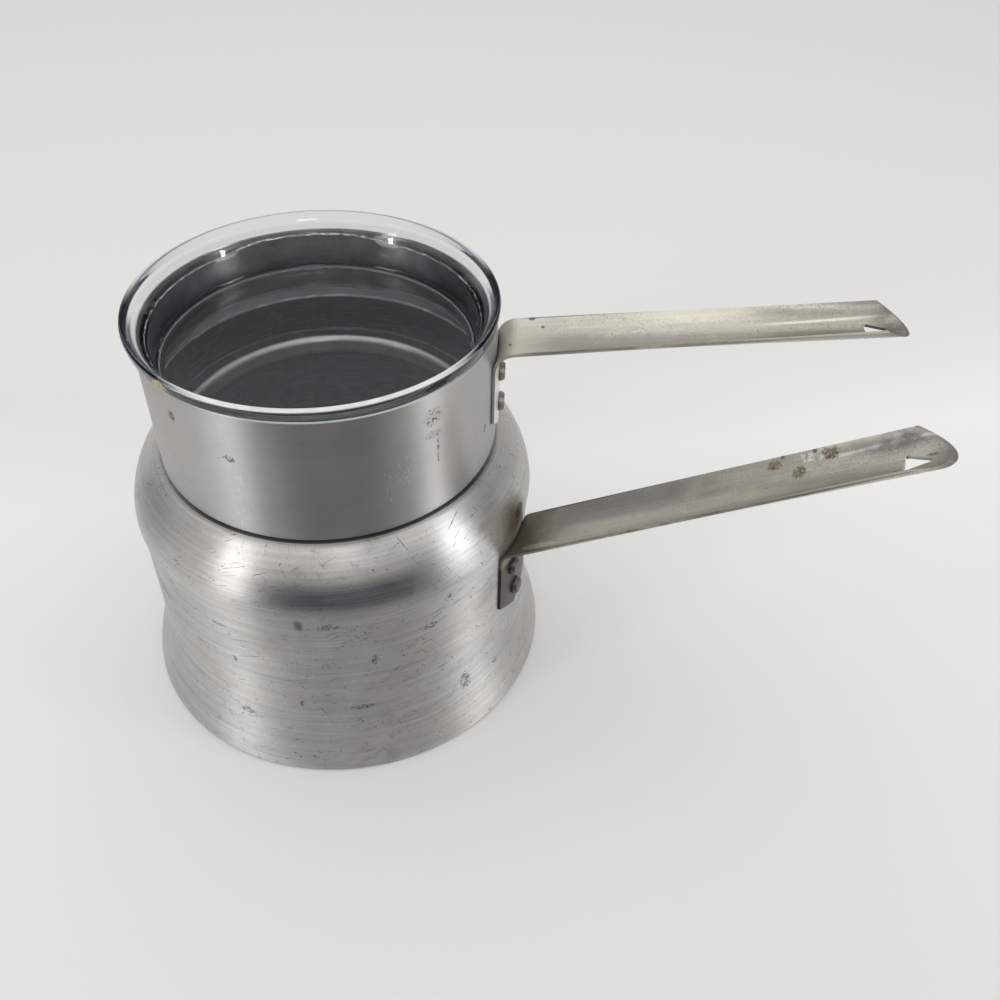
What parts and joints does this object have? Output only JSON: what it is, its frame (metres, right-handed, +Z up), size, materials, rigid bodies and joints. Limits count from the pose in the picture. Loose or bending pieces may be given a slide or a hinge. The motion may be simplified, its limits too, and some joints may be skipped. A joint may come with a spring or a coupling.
{
  "type": "double boiler",
  "caption": "Sheet-metal double boiler: bell-shaped water pot, straight insert pan with a stepped lower part, riveted strap handles and a recessed clear glass lid.",
  "frame": {"origin": "centre of the lower pot's flat underside, on the surface that it stands on", "axes": "+Z up along the axis of both pots; +X to the side on which both handles stick out, which leave the pots 14.4 and 32.5 degrees from +X towards -Y"},
  "size_m": [0.3401, 0.2446, 0.2043],
  "materials": {
    "worn_aluminium": "worn satin, stained and scratched",
    "satin_aluminium": "brushed around the axis, lightly pitted",
    "strap_steel": "plated strap, worn, with dark specks and burnt-on residue",
    "rivet_aluminium": "dull",
    "clear_glass": "clear, polished"
  },
  "bodies": {
    "lower": {"lower_pot": "worn_aluminium", "lower_handle": "strap_steel", "lower_handle_rivet_1": "rivet_aluminium", "lower_handle_rivet_2": "rivet_aluminium"},
    "insert": {"insert_pot": "satin_aluminium", "upper_handle": "strap_steel", "upper_handle_rivet_1": "rivet_aluminium", "upper_handle_rivet_2": "rivet_aluminium"},
    "lid": {"glass_lid": "clear_glass"}
  },
  "joints": [
    {"name": "insert_lift", "type": "slide", "parent": "lower", "child": "insert", "axis": [0, 0, 1], "range_m": [0, 0.06]},
    {"name": "lid_lift", "type": "slide", "parent": "insert", "child": "lid", "axis": [0, 0, 1], "range_m": [0, 0.04]}
  ]
}
